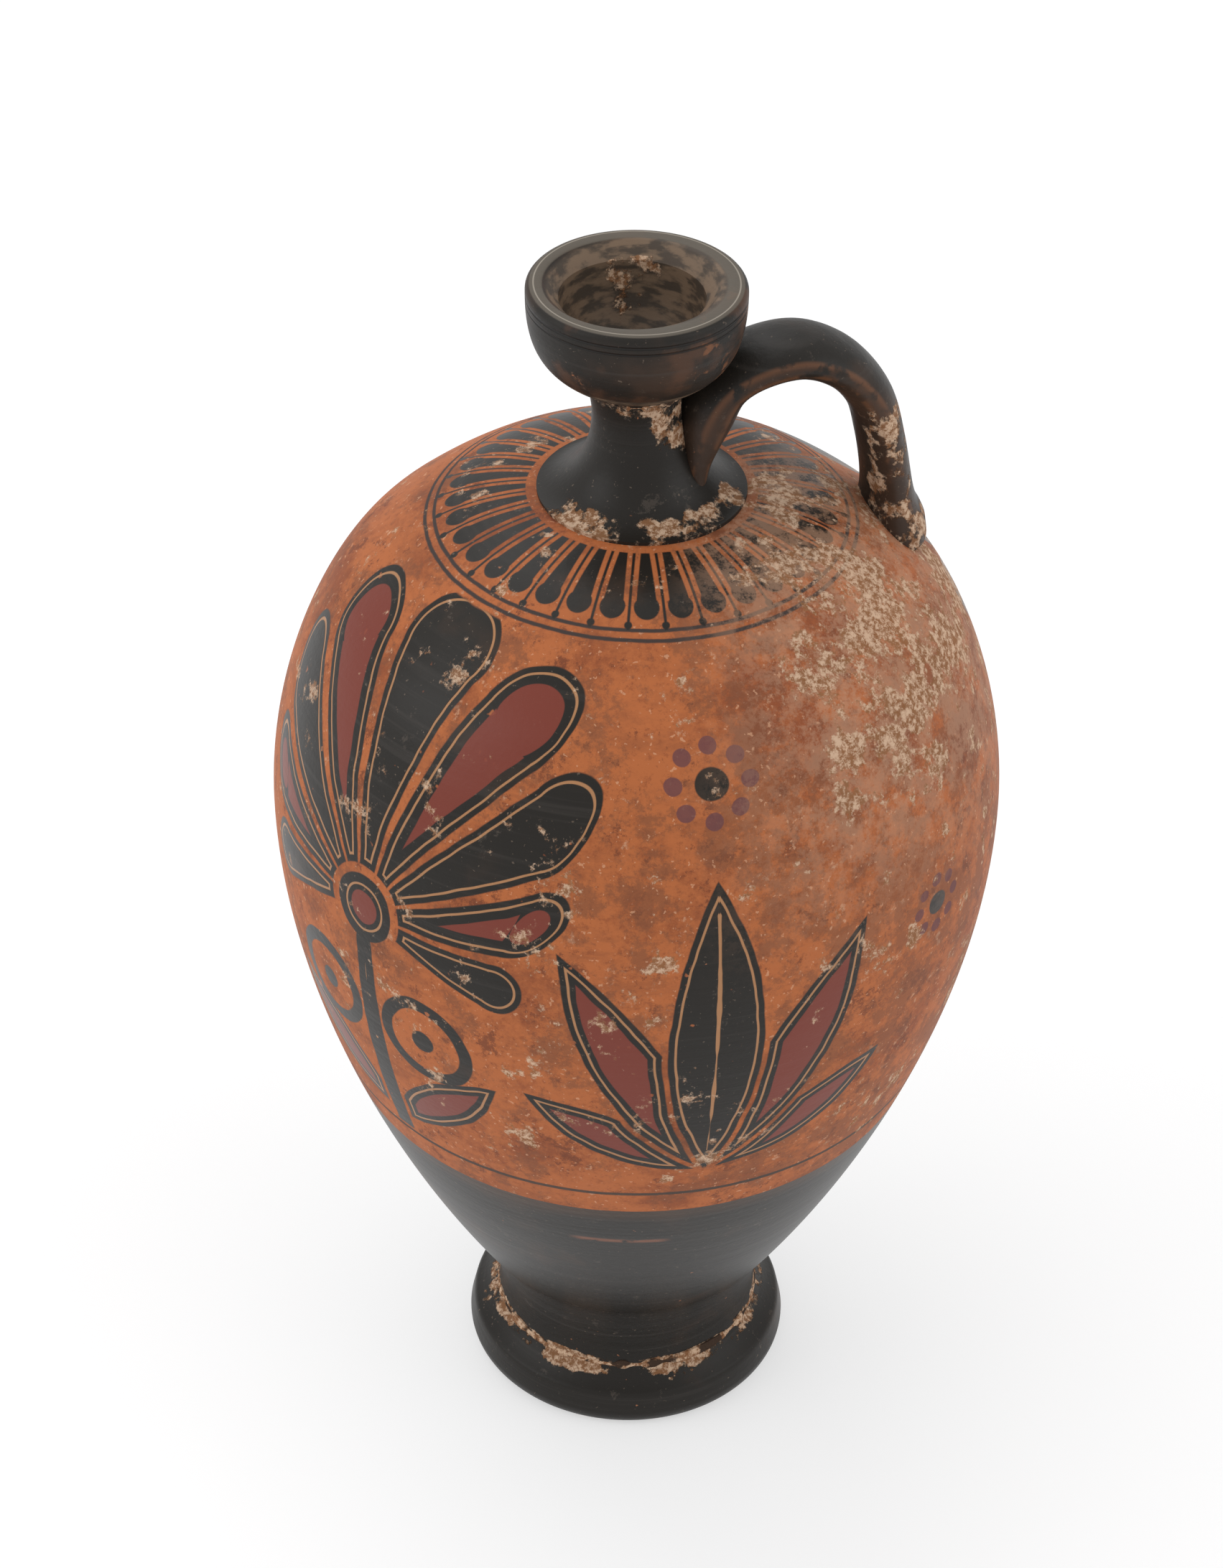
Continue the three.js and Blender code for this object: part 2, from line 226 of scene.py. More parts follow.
LEAF_RED_INSET = 2.8

# Camera: the photograph's lens, and the eye's place in metres and turn in radians, fitted to the jug
LONG_SIDE_PIXELS = 2184
FOCAL_PIXELS = 5236.84
SENSOR = 36.0
FRAME_TURN = math.radians(-15)
FIT_UNIT = 0.272
EYE = (0.0, -2.24201 * FIT_UNIT, 2.26513 * FIT_UNIT)
YAW = -0.0082248
PITCH = 0.650983
ROLL = 0.0145235
CLIP_START = 0.01

# Studio, with lengths in metres
AIM_HEIGHT = 0.13
SKY_STRENGTH = 0.80
FLOOR_HALF_SIZE = 3.0
FLOOR_COLOUR = (0.985, 0.987, 0.992, 1)
SHADOW_SHARE = 0.5
SHADOW_END = 0.30
PLAIN_FLOOR_START = 1.1

# Strength of the mirroring on all of the jug
SPECULAR = 0.22

# Colours of the clay, in linear light as all colours here
CLAY = (0.41, 0.122, 0.038)
CLAY_DARK = (0.20, 0.050, 0.018)
CLAY_PALE = (0.62, 0.34, 0.20)
CLAY_BLOT = (0.13, 0.035, 0.016)
CLAY_TURNED = (0.22, 0.066, 0.026)
CLAY_BLOOM = (0.50, 0.27, 0.16)
CLAY_PATCH_DARK = (0.17, 0.062, 0.030)

# Colours of the gloss and of its wear
BLACK = (0.016, 0.0135, 0.011)
BROWN_BLACK = (0.048, 0.028, 0.018)
WHEEL_GREY = (0.050, 0.043, 0.038)
FLAKE_GREY = (0.085, 0.068, 0.055)
DUST = (0.16, 0.12, 0.09)
CHIP = (0.33, 0.13, 0.06)
THIN_GLOSS = (0.075, 0.040, 0.024)
STREAK_BROWN = (0.17, 0.065, 0.035)
MARK_BLACK = (0.008, 0.007, 0.006)

# Colours of the painting
RED = (0.20, 0.040, 0.025)
DOT_PURPLE = (0.12, 0.045, 0.05)
INCISED_CLAY = (0.45, 0.22, 0.10)
CIRCLE_BLACK = (0.045, 0.032, 0.028)
GROUND_BLACK = (0.055, 0.042, 0.034)

# Colours of the mouth and the handle
LIP_GREY = (0.105, 0.088, 0.068)
# Pale colour of the painted highlight on the lip's outer edge
LIP_EDGE_HIGHLIGHT = (0.45, 0.40, 0.33)
GROOVE_BLACK = (0.012, 0.011, 0.010)
CUP_BROWN = (0.085, 0.040, 0.022)
CUP_CLAY = (0.22, 0.085, 0.035)
BOWL_DARK = (0.060, 0.045, 0.033)
BOWL_TAN = (0.17, 0.115, 0.075)
HANDLE_BROWN = (0.085, 0.045, 0.028)
HANDLE_CLAY = (0.22, 0.09, 0.04)

# Colours of the deposit
CRUST = (0.58, 0.40, 0.27)
CRUST_BROWN = (0.22, 0.10, 0.045)
FILM = (0.60, 0.42, 0.29)
FILM_BROWN = (0.23, 0.105, 0.045)
VEIL = (0.44, 0.25, 0.155)


# Outlines, as lists of radius and height

def reach(start, length, degrees):
    """The point that lies so far from start, at so many degrees above the outward level."""
    angle = math.radians(degrees)
    return (start[0] + length * math.cos(angle), start[1] + length * math.sin(angle))


def bezier(start, pull_start, pull_end, end, steps):
    t = np.linspace(0, 1, steps + 1)[:, None]
    points = [np.array(p, float) for p in (start, pull_start, pull_end, end)]
    weights = [(1 - t) ** 3, 3 * t * (1 - t) ** 2, 3 * t**2 * (1 - t), t**3]
    curve = sum(w * p for w, p in zip(weights, points))
    return [tuple(p) for p in curve]


def offset(outline, distance):
    """Moves an outline sideways; a positive distance is away from the axis on a line that climbs."""
    line = np.array(outline)
    along = np.gradient(line, axis=0)
    along /= np.linalg.norm(along, axis=1)[:, None]
    return [tuple(p) for p in line + distance * np.stack([along[:, 1], -along[:, 0]], 1)]


def raised(outline, height):
    return [(r, z + height) for r, z in outline]


def foot_outline():
    start = (STEM_FOOT_RADIUS, STEM_FOOT_HEIGHT)
    end = (BODY_BASE_RADIUS, BODY_BASE)
    leave = reach(start, STEM_FOOT_PULL, 90 + STEM_FOOT_LEAN)
    arrive = reach(end, -STEM_TOP_PULL, 90 - STEM_TOP_LEAN)
    hollow = [
        (FOOT_HOLLOW_RADIUS, BODY_BASE),
        (FOOT_HOLLOW_RADIUS, FOOT_HOLLOW_SPREAD_HEIGHT),
        (REST_RING_RADIUS, 0.0),
    ]
    plate = bezier(*FOOT_SIDE, steps=10) + bezier(*FOOT_EDGE, steps=5)
    return plate + bezier(start, leave, arrive, end, steps=40) + hollow


def body_outside():
    base = (BODY_BASE_RADIUS, 0.0)
    belly = (BELLY_RADIUS, BELLY_HEIGHT)
    shoulder = (SHOULDER_RADIUS, BODY_HEIGHT - SHOULDER_DROP)
    seat = (SEAT_RADIUS, BODY_HEIGHT)
    below_shoulder = reach(shoulder, SHOULDER_PULL_OUT, -SHOULDER_LEAN)
    above_shoulder = reach(shoulder, SHOULDER_PULL_IN, 180 - SHOULDER_LEAN)
    lower = bezier(base, base, reach(belly, BELLY_PULL_DOWN, -90), belly, steps=70)
    upper = bezier(belly, reach(belly, BELLY_PULL_UP, 90), below_shoulder, shoulder, steps=40)
    top = bezier(shoulder, above_shoulder, reach(seat, SEAT_PULL, -SEAT_LEAN), seat, steps=40)
    return raised(lower + upper[1:] + top[1:], BODY_BASE)


def body_inner_wall(outside):
    """The inner wall from its top down to where the floor's rounding begins."""
    highest_radius = BODY_MOUTH_RADIUS + BODY_WALL
    lowest_height = BODY_BASE + BODY_FLOOR + BODY_WALL
    line = offset(outside, -BODY_WALL)[::INNER_WALL_STRIDE]
    return [p for p in reversed(line) if p[0] > highest_radius and p[1] > lowest_height]


def body_outline():
    outside = body_outside()
    wall = body_inner_wall(outside)
    hole = [(BODY_MOUTH_RADIUS, BODY_TOP), (BODY_MOUTH_RADIUS, BODY_TOP - BODY_WALL)]
    floor_height = BODY_BASE + BODY_FLOOR
    lowest_radius = wall[-1][0]
    floor_points = [
        (lowest_radius - FLOOR_ROUNDING / 3, floor_height + FLOOR_ROUNDING_RISE),
        (lowest_radius - FLOOR_ROUNDING, floor_height),
        (0, floor_height),
    ]
    return [(0, BODY_BASE)] + outside + hole + wall + floor_points


def neck_outline():
    rim = (NECK_FLARE_RADIUS, NECK_FLARE_EDGE)
    waist = (NECK_RADIUS, NECK_WAIST_HEIGHT)
    pull_rim = reach(rim, NECK_FLARE_PULL, 180)
    pull_waist = reach(waist, NECK_WAIST_PULL, -90)
    spread = [(NECK_SPREAD_RADIUS, NECK_SPREAD_HEIGHT), (NECK_TOP_RADIUS, NECK_HEIGHT)]
    bore = [
        (NECK_BORE_RADIUS, NECK_HEIGHT),
        (NECK_BORE_RADIUS, NECK_BORE_FLARE_HEIGHT),
        (BODY_MOUTH_RADIUS, -SLIP),
    ]
    flare = bezier(rim, pull_rim, pull_waist, waist, steps=30)
    outside = [(NECK_FLARE_RADIUS, -SLIP)] + flare + spread
    return raised(outside + bore, NECK_BASE)


def lip_outline():
    """The rounded outer edge, the flat ring and the bevel down to the bowl."""
    start = (MOUTH_RADIUS, MOUTH_HEIGHT - LIP_ROUND)
    end = (LIP_OUTER_RADIUS, MOUTH_HEIGHT)
    pull_start = reach(start, LIP_ROUND_PULL, 90)
    pull_end = reach(end, LIP_ROUND_PULL, 0)
    rounding = bezier(start, pull_start, pull_end, end, steps=8)
    return rounding + [
        (LIP_INNER_RADIUS, MOUTH_HEIGHT),
        (LIP_INNER_RADIUS - LIP_INNER_ROUND[0], MOUTH_HEIGHT - LIP_INNER_ROUND[1]),
        (BOWL_RADIUS, MOUTH_HEIGHT - BEVEL_DROP),
    ]


def mouth_outline():
    base = (MOUTH_BASE_RADIUS, 0.0)
    wall = (MOUTH_RADIUS, MOUTH_HEIGHT - LIP_HEIGHT)
    pull_base = reach(base, MOUTH_BASE_PULL, MOUTH_BASE_LEAN)
    side = bezier(base, pull_base, reach(wall, MOUTH_WALL_PULL, -90), wall, steps=30)
    bowl_top = (BOWL_RADIUS, MOUTH_HEIGHT - BEVEL_DROP)
    bowl_end = (NECK_BORE_RADIUS, BOWL_FLOOR_HEIGHT)
    pull_top = reach(bowl_top, BOWL_WALL_PULL, -90)
    pull_end = reach(bowl_end, BOWL_FLOOR_PULL, BOWL_FLOOR_LEAN)
    bowl = bezier(bowl_top, pull_top, pull_end, bowl_end, steps=16)
    outside = [(MOUTH_SEAM_RADIUS, -SLIP)] + side
    return raised(outside + lip_outline() + bowl[1:] + [(NECK_BORE_RADIUS, -SLIP)], MOUTH_BASE)


# Meshes

def mark_sharp_edges(data, degrees):
    for edge in data.edges:
        if len(edge.link_faces) == 2 and edge.calc_face_angle(0.0) > math.radians(degrees):
            edge.smooth = False


def finish_mesh(name, mesh, material, nodes):
    """Cleans a mesh, makes its object under the root body and hides the CAD parts that it stands for."""
    data = bmesh.new()
    data.from_mesh(mesh)
    bmesh.ops.remove_doubles(data, verts=data.verts, dist=MERGE_DISTANCE)
    bmesh.ops.recalc_face_normals(data, faces=data.faces)
    mark_sharp_edges(data, SHARP_DEGREES)
    for face in data.faces:
        face.smooth = True
    data.to_mesh(mesh)
    data.free()
    made = bpy.data.objects.new(name, mesh)
    bpy.context.scene.collection.objects.link(made)
    mesh.materials.append(material)
    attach(made, "root")
    if nodes:
        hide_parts(*nodes)
    return made


def grid_mesh(name, places):
    """A closed tube of quads: rows of points that close on themselves both ways, with a UV map."""
    rows, columns = places.shape[:2]
    faces = []
    uvs = []
    for i in range(rows):
        for j in range(columns):
            right, below = (j + 1) % columns, (i + 1) % rows
            corners = ((i, j), (i, right), (below, right), (below, j))
            faces.append([row * columns + column for row, column in corners])
            u, v = j / columns, i / rows
            uvs += [(u, v), (u + 1 / columns, v), (u + 1 / columns, v + 1 / rows), (u, v + 1 / rows)]
    mesh = bpy.data.meshes.new(name)
    mesh.from_pydata((places.reshape(-1, 3) * MM).tolist(), [], faces)
    layer = mesh.uv_layers.new(name="OFBake")
    layer.data.foreach_set("uv", np.array(uvs, np.float32).ravel())
    return mesh


def thrown(name, outline, turns, lean):
    """Turns an outline about the Z axis; lean gives each point's shift towards -X."""
    rz = np.array(outline, float)
    angle = np.linspace(0, 2 * math.pi, turns, endpoint=False)
    x = rz[:, :1] * np.cos(angle) - lean(rz)[:, None]
    y = rz[:, :1] * np.sin(angle)
    z = np.repeat(rz[:, 1:], turns, axis=1)
    return grid_mesh(name, np.stack([x, y, z], -1))


def no_lean(rz):
    return np.zeros(len(rz))


def neck_lean(rz):
    return MOUTH_LEAN * (rz[:, 1] - NECK_BASE) / NECK_HEIGHT


def mouth_lean(rz):
    """The bowl's inside leans a little more than the wall, so the lip is broader on the handle's side."""
    height = rz[:, 1] - MOUTH_BASE
    inner = rz[:, 0] < np.interp(height, CUP_HEIGHTS, CUP_WALL_MIDDLES)
    return MOUTH_LEAN + OPENING_SHIFT * height / MOUTH_HEIGHT * inner


# Shader building

class Field:
    """A number that varies over the surface: the output socket of a shader node."""

    def __init__(self, tree, socket):
        self.tree = tree
        self.socket = socket

    def __add__(self, other):
        return math_node(self.tree, "ADD", self, other)

    def __radd__(self, other):
        return math_node(self.tree, "ADD", other, self)

    def __sub__(self, other):
        return math_node(self.tree, "SUBTRACT", self, other)

    def __rsub__(self, other):
        return math_node(self.tree, "SUBTRACT", other, self)

    def __mul__(self, other):
        return math_node(self.tree, "MULTIPLY", self, other)

    def __rmul__(self, other):
        return math_node(self.tree, "MULTIPLY", other, self)

    def __abs__(self):
        return math_node(self.tree, "ABSOLUTE", self)


def join(tree, value, target):
    if isinstance(value, Field):
        tree.links.new(value.socket, target)
    else:
        target.default_value = value


def math_node(tree, operation, *values):
    node = tree.nodes.new("ShaderNodeMath")
    node.operation = operation
    for value, target in zip(values, node.inputs):
        join(tree, value, target)
    return Field(tree, node.outputs[0])


def op(operation, first, *others):
    return math_node(first.tree, operation, first, *others)


def least(first, *others):
    for other in others:
        first = op("MINIMUM", first, other)
    return first


def most(first, *others):
    for other in others:
        first = op("MAXIMUM", first, other)
    return first


def length(across, along):
    return op("SQRT", across * across + along * along)


def ramp(field, low, high):
    """0 at low and 1 at high, with a smooth climb between."""
    node = field.tree.nodes.new("ShaderNodeMapRange")
    node.interpolation_type = "SMOOTHSTEP"
    field.tree.links.new(field.socket, node.inputs["Value"])
    node.inputs["From Min"].default_value = low
    node.inputs["From Max"].default_value = high
    return Field(field.tree, node.outputs["Result"])


def inside(distance, soft=0.12):
    return ramp(distance, soft, -soft)


def band(field, low, high, soft=0.15):
    return ramp(field, low - soft, low + soft) * ramp(field, high + soft, high - soft)


class Surface:
    """The surface coordinates and noises of one material, in millimetres and degrees."""

    def __init__(self, name):
        self.material = bpy.data.materials.new(name)
        self.material.use_nodes = True
        self.tree = self.material.node_tree
        self.shader = self.tree.nodes["Principled BSDF"]
        self.shader.inputs["Specular IOR Level"].default_value = SPECULAR
        coordinates = self.tree.nodes.new("ShaderNodeTexCoord")
        self.place = self.scaled(coordinates.outputs["Object"], (1 / MM, 1 / MM, 1 / MM))
        split = self.tree.nodes.new("ShaderNodeSeparateXYZ")
        self.tree.links.new(self.place, split.inputs[0])
        self.x, self.y, self.z = (Field(self.tree, out) for out in split.outputs)
        self.radius = length(self.x, self.y)
        self.azimuth = op("ARCTAN2", self.y, self.x) * math.degrees(1)

    def scaled(self, vector, factors):
        node = self.tree.nodes.new("ShaderNodeVectorMath")
        node.operation = "MULTIPLY"
        self.tree.links.new(vector, node.inputs[0])
        node.inputs[1].default_value = factors
        return node.outputs[0]

    def noise(self, size, detail=3.0, stretch=(1, 1, 1), roughness=0.55):
        """Cloudy noise whose blots are about size across, from 0 to 1 about a middle of 0.5."""
        node = self.tree.nodes.new("ShaderNodeTexNoise")
        place = self.scaled(self.place, tuple(s / size for s in stretch))
        self.tree.links.new(place, node.inputs["Vector"])
        node.inputs["Scale"].default_value = 1.0
        node.inputs["Detail"].default_value = detail
        node.inputs["Roughness"].default_value = roughness
        return Field(self.tree, node.outputs["Fac"])

    def patches(self, size, low, high, **look):
        """A mask that is 1 where the noise is above high and 0 where it is below low."""
        return ramp(self.noise(size, **look), low, high)

    def around(self, azimuth, outer, inner):
        """A mask that is 1 within inner degrees of an azimuth and 0 beyond outer degrees."""
        return ramp(abs(self.azimuth - azimuth), outer, inner)

    def attribute(self, name):
        node = self.tree.nodes.new("ShaderNodeAttribute")
        node.attribute_name = name
        return Field(self.tree, node.outputs["Fac"])

    def mix(self, mask, under, over):
        """Lays the colour over on the colour under; a mix node's two colours are its inputs 6 and 7."""
        node = self.tree.nodes.new("ShaderNodeMix")
        node.data_type = "RGBA"
        join(self.tree, mask, node.inputs[0])
        for value, target in ((under, node.inputs[6]), (over, node.inputs[7])):
            if isinstance(value, tuple):
                target.default_value = (*value, 1.0)
            else:
                self.tree.links.new(value, target)
        return node.outputs[2]

    def finish(self, colour, roughness, relief, depth):
        """Gives the shader its colour, roughness and bumps, and returns the material."""
        self.tree.links.new(colour, self.shader.inputs["Base Color"])
        join(self.tree, roughness, self.shader.inputs["Roughness"])
        bump = self.tree.nodes.new("ShaderNodeBump")
        bump.inputs["Strength"].default_value = 1.0
        bump.inputs["Distance"].default_value = depth * MM
        self.tree.links.new(relief.socket, bump.inputs["Height"])
        self.tree.links.new(bump.outputs[0], self.shader.inputs["Normal"])
        return self.material


# Painted ornament, each as a distance in millimetres that is negative inside the paint

def vesica(across, climb, base, degrees, half_length, half_width):
    """A leaf with two pointed ends, growing from base at so many degrees off the upright."""
    turn = math.radians(degrees)
    rise = climb - base
    along = across * math.sin(turn) + rise * math.cos(turn) - half_length
    side = abs(across * math.cos(turn) - rise * math.sin(turn))
    arc = (half_length**2 + half_width**2) / (2 * half_width)
    return length(along, side + (arc - half_width)) - arc


def palmette(across, climb):
    """Petal distance, how far from the heart, and which petals are painted red."""
    rise = climb - PALMETTE_HEART
    away = length(across, rise)
    turn = op("ARCTAN2", across, rise)
    envelope = SIDE_PETAL_LENGTH + TOP_PETAL_GAIN * op("MAXIMUM", op("COSINE", turn), 0.0)
    petal_turn = op("PINGPONG", turn, PETAL_SPREAD / 2)
    side = away * op("SINE", petal_turn)
    along = away * op("COSINE", petal_turn)
    slope = math.tan(PETAL_SPREAD / 2) * PETAL_FILL
    tip_radius = envelope * (slope / (1 + slope))
    tip = envelope - tip_radius
    cone = most(side - along * slope, along - tip)
    petals = least(cone, length(side, along - tip) - tip_radius)
    petals = most(petals, (turn - LOWEST_PETAL) * away, PETAL_START - away)
    every_other = op("PINGPONG", turn, PETAL_SPREAD)
    return petals, away, ramp(every_other, PETAL_SPREAD * 0.49, PETAL_SPREAD * 0.51)


def lotus(across, climb):
    """The pointed middle petal, and the sepals and leaves that spread from behind it."""
    middle = vesica(across, climb, LOTUS_BASE, degrees=0, half_length=38, half_width=9.5)
    sepal = vesica(across, climb, LOTUS_BASE, degrees=27, half_length=34, half_width=7.5)
    leaf = vesica(across, climb, LOTUS_BASE, degrees=58, half_length=22, half_width=5.6)
    sepal = most(sepal, PAINT_GAP - middle)
    leaf = most(leaf, PAINT_GAP - sepal, PAINT_GAP - middle)
    return middle, least(sepal, leaf)


def curls(across, climb):
    """A round curl with a dark eye, on each side of a stem."""
    away = length(across - CURL_REACH * CURL_RADIUS, climb - CURL_CLIMB)
    ring = abs(away - CURL_RADIUS) - CURL_HALF_LINE
    return least(ring, away - CURL_EYE * CURL_RADIUS)


def palmette_stand(across, climb):
    """The stem under a palmette with its curls, and the lower leaves."""
    stem = most(across - STEM_HALF_WIDTH, climb - STEM_END, STEM_START - climb)
    leaf = vesica(across, climb, STAND_LEAF_BASE, degrees=50, half_length=19, half_width=5.6)
    return least(stem, curls(across, climb)), most(leaf, PAINT_GAP - stem)


def rosette(across, climb, middle, size):
    """A dark core with eight dots round it: both distances."""
    rise = climb - middle
    away = length(across, rise)
    turn = op("PINGPONG", op("ARCTAN2", across, rise), math.radians(22.5))
    to_dot = length(away * op("SINE", turn), away * op("COSINE", turn) - ROSETTE_RING * size)
    return away - ROSETTE_CORE * size, to_dot - ROSETTE_DOT * size


def folded(surface, centre, wobble):
    """Distance round the wall from the nearer of an azimuth and its opposite."""
    turn = op("PINGPONG", surface.azimuth + (720 - centre), 90.0)
    return turn * surface.radius * math.radians(1) + wobble


def ornament(surface):
    """Masks of the dark paint, the incised lines, the red touches and the dots."""
    wobble = (surface.noise(14, detail=2.0) - 0.5) * 1.8
    climb = surface.attribute("climb") + (surface.noise(17, detail=2.0) - 0.5) * 2.0
    across_palmette = folded(surface, PALMETTE_AZIMUTH, wobble)
    across_lotus = folded(surface, LOTUS_AZIMUTH, wobble)
    across_rosette = folded(surface, ROSETTE_AZIMUTH, wobble)
    petals, from_heart, chosen = palmette(across_palmette, climb)
    stand, leaves = palmette_stand(across_palmette, climb)
    bud, sepals = lotus(across_lotus, climb)
    core, dots = rosette(across_rosette, climb, ROSETTE_CLIMB, size=1.0)
    core_high, dots_high = rosette(across_lotus, climb, HIGH_ROSETTE_CLIMB, size=1.3)
    heart = from_heart - HEART_RADIUS
    dark = least(petals, heart, stand, leaves, bud, sepals, core, core_high)
    cuts = least(
        abs(petals + PETAL_LINE_INSET),
        abs(from_heart - HEART_RING),
        abs(bud + PETAL_LINE_INSET),
        most(across_lotus, bud + 2 * PETAL_LINE_INSET),
        abs(sepals + LEAF_LINE_INSET),
        abs(leaves + LEAF_LINE_INSET),
    )
    red = most(
        inside(petals + PETAL_RED_INSET) * chosen,
        inside(from_heart - PETAL_RED_INSET),
        inside(sepals + LEAF_RED_INSET),
        inside(leaves + LEAF_RED_INSET),
    )
    dots = most(inside(dots), inside(dots_high))
    return inside(dark, soft=0.18), ramp(cuts, 0.34, 0.18), red, dots


# Materials

def speckle(surface, size, threshold):
    return surface.patches(size, threshold, threshold + 0.04, detail=2.0)


def wheel_lines(surface, size=1.4):
    return surface.noise(size, 2.0, stretch=(0.02, 0.02, 1))


def gloss_colour(surface, wear):
    """Black gloss that turns brown in patches, with chips down to the clay and pale dust."""
    brown = surface.patches(24, 0.60 - wear, 0.78 - wear, detail=4.0)
    colour = surface.mix(brown * 0.8, BLACK, BROWN_BLACK)
    colour = surface.mix(ramp(wheel_lines(surface), 0.55, 0.75) * 0.3, colour, WHEEL_GREY)
    flakes = surface.patches(5, 0.60, 0.64, detail=9.0, roughness=0.78)
    colour = surface.mix(flakes * 0.45, colour, FLAKE_GREY)
    colour = surface.mix(speckle(surface, 0.9, 0.69) * 0.5, colour, DUST)
    return surface.mix(speckle(surface, 2.4, 0.755), colour, CHIP)


def clay_colour(surface):
    """Orange clay with brown clouds, dark specks, a pale bloom and dark patches that are more frequent on
    the right.
    """
    clouds = surface.patches(30, 0.48, 0.64, detail=12.0, roughness=0.78)
    colour = surface.mix(clouds * 0.8, CLAY, CLAY_DARK)
    blots = surface.patches(8, 0.55, 0.60, detail=12.0, roughness=0.82)
    colour = surface.mix(blots * 0.75, colour, CLAY_BLOT)
    grain = surface.patches(1.8, 0.52, 0.64, detail=6.0, roughness=0.8)
    colour = surface.mix(grain * 0.5, colour, CLAY_DARK)
    turned = surface.patches(9, 0.50, 0.64, detail=7.0, stretch=(0.3, 0.3, 1), roughness=0.75)
    colour = surface.mix(turned * 0.45, colour, CLAY_TURNED)
    bloom = surface.patches(5.5, 0.61, 0.68, detail=6.0, roughness=0.75)
    colour = surface.mix(bloom * 0.75, colour, CLAY_BLOOM)
    # Dark patches, a little more frequent on the right side.
    right = ramp(surface.azimuth, -112.0, -60.0) * ramp(surface.azimuth, 80.0, 30.0)
    dark_patches = ramp(surface.noise(12, detail=12.0, roughness=0.80) + right * 0.06, 0.51, 0.59)
    colour = surface.mix(dark_patches * 0.6, colour, CLAY_PATCH_DARK)
    return surface.mix(speckle(surface, 1.2, 0.66) * 0.5, colour, CLAY_PALE)


def crust_over(surface, colour, mask):
    """Lays a film of tan deposit where the mask is high, broken up by noise."""
    patchy = (surface.noise(13, detail=4.0) - 0.5) * 0.8
    noise = surface.noise(5.0, detail=10.0, roughness=0.72)
    broken = ramp(noise + (mask - 1.0) * 0.36 + patchy, 0.45, 0.52) * ramp(mask, 0.02, 0.15)
    grain = surface.patches(1.5, 0.44, 0.58, detail=6.0, roughness=0.8)
    tone = surface.mix(grain, FILM_BROWN, FILM)
    return surface.mix(broken * 0.85, colour, tone), broken


def picture_colour(surface, ring_radius, gloss):
    """The picture zone's colour, and where its dark paint and its incised lines are."""
    dark, cuts, red, dots = ornament(surface)
    zone = ramp(surface.z, GROUND_LINE + 1.0, GROUND_LINE + 1.4)
    zone = zone * ramp(ring_radius, SECOND_CIRCLE + 1.0, SECOND_CIRCLE + 1.6)
    painted = dark * zone
    incised = cuts * painted
    paint_wear = 1.0 - speckle(surface, 3.4, 0.72) * 0.8
    colour = surface.mix(painted * paint_wear, clay_colour(surface), gloss)
    colour = surface.mix(red * zone * 0.85, colour, RED)
    colour = surface.mix(dots * zone * 0.85, colour, DOT_PURPLE)
    return surface.mix(incised * 0.8, colour, INCISED_CLAY), painted, incised


def shoulder_colour(surface, colour, ring_radius, gloss):
    """Adds the two circles and the tongues inside them, and says where the tongues are."""
    shoulder = ramp(surface.z, SHOULDER_ZONE, SHOULDER_ZONE + 2)
    for circle in (FIRST_CIRCLE, SECOND_CIRCLE):
        line = band(ring_radius, circle - CIRCLE_HALF_WIDTH, circle + CIRCLE_HALF_WIDTH)
        colour = surface.mix(line * shoulder, colour, CIRCLE_BLACK)
    tongues = tongue_mask(surface, ring_radius) * shoulder
    return surface.mix(tongues, colour, gloss), tongues


def lower_wall_colour(surface, colour, line_height, gloss):
    """Adds the ground line and the glossed wall with its marks, and says where that wall is."""
    ground = band(line_height, GROUND_LINE - GROUND_LINE_WIDTH / 2, GROUND_LINE + GROUND_LINE_WIDTH / 2)
    colour = surface.mix(ground * 0.95, colour, GROUND_BLACK)
    low = ramp(line_height, GLOSS_TOP + 0.15, GLOSS_TOP - 0.15)
    colour = surface.mix(low, colour, gloss)
    streak = band(surface.azimuth, -116.0, -97.0, soft=2.0) * band(surface.z, 76.2, 77.4, soft=0.5)
    colour = surface.mix(streak * surface.patches(4, 0.40, 0.50, detail=4.0), colour, STREAK_BROWN)
    thin_band = low * ramp(surface.z, GLOSS_TOP - 5.5, GLOSS_TOP - 1.0) * 0.5
    colour = surface.mix(thin_band, colour, THIN_GLOSS)
    return surface.mix(ring_mark(surface), colour, MARK_BLACK), low


def body_material():
    surface = Surface("painted_body")
    uneven = (surface.noise(5, detail=3.0) - 0.5) * 0.4
    ring_radius = surface.radius + uneven
    gloss = gloss_colour(surface, wear=0.05)
    colour, painted, incised = picture_colour(surface, ring_radius, gloss)
    colour, tongues = shoulder_colour(surface, colour, ring_radius, gloss)
    colour, low = lower_wall_colour(surface, colour, surface.z + uneven, gloss)
    veil = surface.around(VEIL_AZIMUTH, outer=66.0, inner=30.0) * ramp(surface.z, 150.0, 192.0)
    veil = veil * surface.patches(7, 0.44, 0.54, detail=12.0, roughness=0.85)
    colour = surface.mix(veil * 0.5, colour, VEIL)
    deposit = right_shoulder_deposit(surface)
    colour, crust = crust_over(surface, colour, deposit)
    roughness = 0.62 - most(low, painted, tongues) * 0.27 + crust * deposit * 0.3
    relief = wheel_lines(surface, size=2.0) * 0.5 + surface.noise(1.2, detail=3.0) * 0.35 - incised
    return surface.finish(colour, roughness, relief, depth=0.12)


def ring_mark(surface):
    """A small dark ring pressed into the gloss on the front of the lower wall."""
    across = (surface.azimuth - MARK_AZIMUTH) * surface.radius * math.radians(1)
    away = length(across, surface.z - MARK_HEIGHT)
    return inside(abs(away - MARK_RADIUS) - MARK_HALF_LINE) * 0.8


